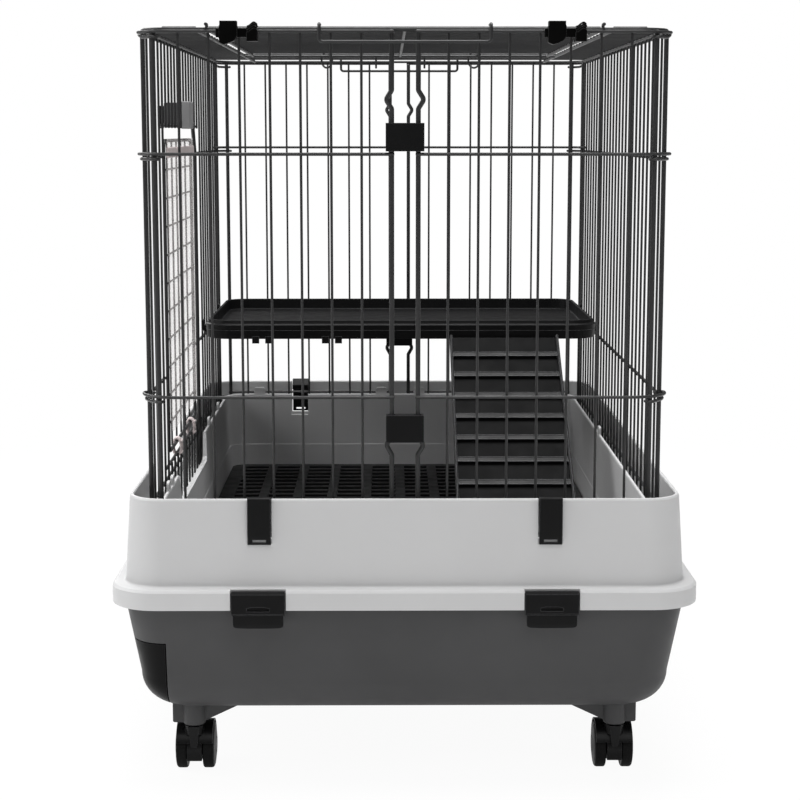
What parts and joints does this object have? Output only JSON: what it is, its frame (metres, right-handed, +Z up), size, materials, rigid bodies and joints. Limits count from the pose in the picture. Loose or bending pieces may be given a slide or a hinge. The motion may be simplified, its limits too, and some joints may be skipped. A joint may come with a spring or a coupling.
{
  "type": "wire rabbit cage",
  "caption": "Upright wire small-pet cage on a moulded wheeled base with a pull-out tray, slotted floor, raised platform, ramp, drop-down side door and lift-up roof door.",
  "frame": {"origin": "on the floor under the middle of the cage", "axes": "+Z up, Y along the cage with the ramp facing -Y, X across the cage with the drop-down side door on -X"},
  "size_m": [0.54, 0.8254, 0.6966],
  "materials": {
    "wire": "satin powder coat",
    "ring": "satin moulded plastic",
    "tub": "satin moulded plastic",
    "black_plastic": "satin moulded plastic",
    "grey_plastic": "satin moulded plastic",
    "caster_tread": "nylon",
    "axle_steel": "zinc-plated",
    "pale_plastic": "translucent sheet"
  },
  "bodies": {
    "cage": {"lower_tub": "tub", "base_ring": "ring", "floor_grate": "black_plastic", "wire_leaf_front_left": "wire", "wire_leaf_front_right": "wire", "wire_leaf_back_left": "wire", "wire_leaf_back_right": "wire", "link_plate_front_lower": "black_plastic", "link_plate_front_upper": "black_plastic", "link_plate_back_lower": "black_plastic", "link_plate_back_upper": "black_plastic", "wire_side_right": "wire", "wire_side_left": "wire", "wire_roof_frame": "wire", "roof_bail_back": "wire", "top_door_ring_left": "wire", "top_door_ring_right": "wire", "side_door_hinge_front": "pale_plastic", "side_door_hinge_rear": "pale_plastic", "side_latch_block": "grey_plastic", "platform": "black_plastic"},
    "tray": {"slide_tray": "black_plastic"},
    "rim_latch_front_left": {"rim_latch_front_left": "black_plastic"},
    "cage_clip_front_left": {"cage_clip_front_left": "black_plastic"},
    "caster_front_left": {"caster_fork_front_left": "black_plastic"},
    "caster_wheels_front_left": {"caster_axle_front_left": "axle_steel", "caster_wheel_front_left_inner": "caster_tread", "caster_wheel_front_left_outer": "caster_tread"},
    "rim_latch_front_right": {"rim_latch_front_right": "black_plastic"},
    "cage_clip_front_right": {"cage_clip_front_right": "black_plastic"},
    "caster_front_right": {"caster_fork_front_right": "black_plastic"},
    "caster_wheels_front_right": {"caster_axle_front_right": "axle_steel", "caster_wheel_front_right_inner": "caster_tread", "caster_wheel_front_right_outer": "caster_tread"},
    "rim_latch_back_left": {"rim_latch_back_left": "black_plastic"},
    "cage_clip_back_left": {"cage_clip_back_left": "black_plastic"},
    "caster_back_left": {"caster_fork_back_left": "black_plastic"},
    "caster_wheels_back_left": {"caster_axle_back_left": "axle_steel", "caster_wheel_back_left_inner": "caster_tread", "caster_wheel_back_left_outer": "caster_tread"},
    "rim_latch_back_right": {"rim_latch_back_right": "black_plastic"},
    "cage_clip_back_right": {"cage_clip_back_right": "black_plastic"},
    "caster_back_right": {"caster_fork_back_right": "black_plastic"},
    "caster_wheels_back_right": {"caster_axle_back_right": "axle_steel", "caster_wheel_back_right_inner": "caster_tread", "caster_wheel_back_right_outer": "caster_tread"},
    "side_door": {"side_door": "wire", "side_door_sheet": "pale_plastic"},
    "side_latch_lever": {"side_latch_lever": "black_plastic"},
    "top_door": {"top_door": "wire", "top_latch_body_left": "black_plastic", "top_latch_body_right": "black_plastic"},
    "top_latch_slider_left": {"top_latch_slider_left": "black_plastic"},
    "top_latch_slider_right": {"top_latch_slider_right": "black_plastic"},
    "top_door_bail": {"top_door_bail": "wire"},
    "ramp": {"ramp": "black_plastic"}
  },
  "joints": [
    {"name": "tray_slide", "type": "slide", "parent": "cage", "child": "tray", "axis": [1, 0, 0], "range_m": [-0.45, 0]},
    {"name": "rim_latch_swing_front_left", "type": "hinge", "parent": "cage", "child": "rim_latch_front_left", "pos_m": [-0.133, -0.4103, 0.188], "axis": [-1, 0, 0], "range_deg": [0, 110]},
    {"name": "cage_clip_swing_front_left", "type": "hinge", "parent": "cage", "child": "cage_clip_front_left", "pos_m": [-0.132, -0.3994, 0.232], "axis": [1, 0, 0], "range_deg": [0, 120]},
    {"name": "caster_swivel_front_left", "type": "hinge", "parent": "cage", "child": "caster_front_left", "pos_m": [-0.1985, -0.352, 0.05], "axis": [0, 0, 1], "continuous": true},
    {"name": "caster_roll_front_left", "type": "hinge", "parent": "caster_front_left", "child": "caster_wheels_front_left", "pos_m": [-0.1985, -0.338, 0.022], "axis": [1, 0, 0], "continuous": true},
    {"name": "rim_latch_swing_front_right", "type": "hinge", "parent": "cage", "child": "rim_latch_front_right", "pos_m": [0.133, -0.4103, 0.188], "axis": [-1, 0, 0], "range_deg": [0, 110]},
    {"name": "cage_clip_swing_front_right", "type": "hinge", "parent": "cage", "child": "cage_clip_front_right", "pos_m": [0.132, -0.3994, 0.232], "axis": [1, 0, 0], "range_deg": [0, 120]},
    {"name": "caster_swivel_front_right", "type": "hinge", "parent": "cage", "child": "caster_front_right", "pos_m": [0.1985, -0.352, 0.05], "axis": [0, 0, 1], "continuous": true},
    {"name": "caster_roll_front_right", "type": "hinge", "parent": "caster_front_right", "child": "caster_wheels_front_right", "pos_m": [0.1985, -0.338, 0.022], "axis": [1, 0, 0], "continuous": true},
    {"name": "rim_latch_swing_back_left", "type": "hinge", "parent": "cage", "child": "rim_latch_back_left", "pos_m": [-0.133, 0.4103, 0.188], "axis": [1, 0, 0], "range_deg": [0, 110]},
    {"name": "cage_clip_swing_back_left", "type": "hinge", "parent": "cage", "child": "cage_clip_back_left", "pos_m": [-0.132, 0.3994, 0.232], "axis": [-1, 0, 0], "range_deg": [0, 120]},
    {"name": "caster_swivel_back_left", "type": "hinge", "parent": "cage", "child": "caster_back_left", "pos_m": [-0.1985, 0.352, 0.05], "axis": [0, 0, 1], "continuous": true},
    {"name": "caster_roll_back_left", "type": "hinge", "parent": "caster_back_left", "child": "caster_wheels_back_left", "pos_m": [-0.1985, 0.366, 0.022], "axis": [1, 0, 0], "continuous": true},
    {"name": "rim_latch_swing_back_right", "type": "hinge", "parent": "cage", "child": "rim_latch_back_right", "pos_m": [0.133, 0.4103, 0.188], "axis": [1, 0, 0], "range_deg": [0, 110]},
    {"name": "cage_clip_swing_back_right", "type": "hinge", "parent": "cage", "child": "cage_clip_back_right", "pos_m": [0.132, 0.3994, 0.232], "axis": [-1, 0, 0], "range_deg": [0, 120]},
    {"name": "caster_swivel_back_right", "type": "hinge", "parent": "cage", "child": "caster_back_right", "pos_m": [0.1985, 0.352, 0.05], "axis": [0, 0, 1], "continuous": true},
    {"name": "caster_roll_back_right", "type": "hinge", "parent": "caster_back_right", "child": "caster_wheels_back_right", "pos_m": [0.1985, 0.366, 0.022], "axis": [1, 0, 0], "continuous": true},
    {"name": "side_door_drop", "type": "hinge", "parent": "cage", "child": "side_door", "pos_m": [-0.238, -0.062, 0.278], "axis": [0, -1, 0], "range_deg": [0, 138]},
    {"name": "side_latch_lift", "type": "hinge", "parent": "cage", "child": "side_latch_lever", "pos_m": [-0.2586, -0.0267, 0.6265], "axis": [0, 1, 0], "range_deg": [0, 40]},
    {"name": "top_door_lift", "type": "hinge", "parent": "cage", "child": "top_door", "pos_m": [0, 0.194, 0.6903], "axis": [-1, 0, 0], "range_deg": [0, 135]},
    {"name": "top_latch_slide_left", "type": "slide", "parent": "top_door", "child": "top_latch_slider_left", "axis": [1, 0, 0], "range_m": [0, 0.006]},
    {"name": "top_latch_slide_right", "type": "slide", "parent": "top_door", "child": "top_latch_slider_right", "axis": [1, 0, 0], "range_m": [0, 0.006]},
    {"name": "top_door_bail_swing", "type": "hinge", "parent": "top_door", "child": "top_door_bail", "pos_m": [0, -0.3685, 0.6944], "axis": [-1, 0, 0], "range_deg": [0, 100]},
    {"name": "ramp_lift", "type": "hinge", "parent": "cage", "child": "ramp", "pos_m": [0.1175, 0.056, 0.361], "axis": [-1, 0, 0], "range_deg": [0, 34]}
  ]
}
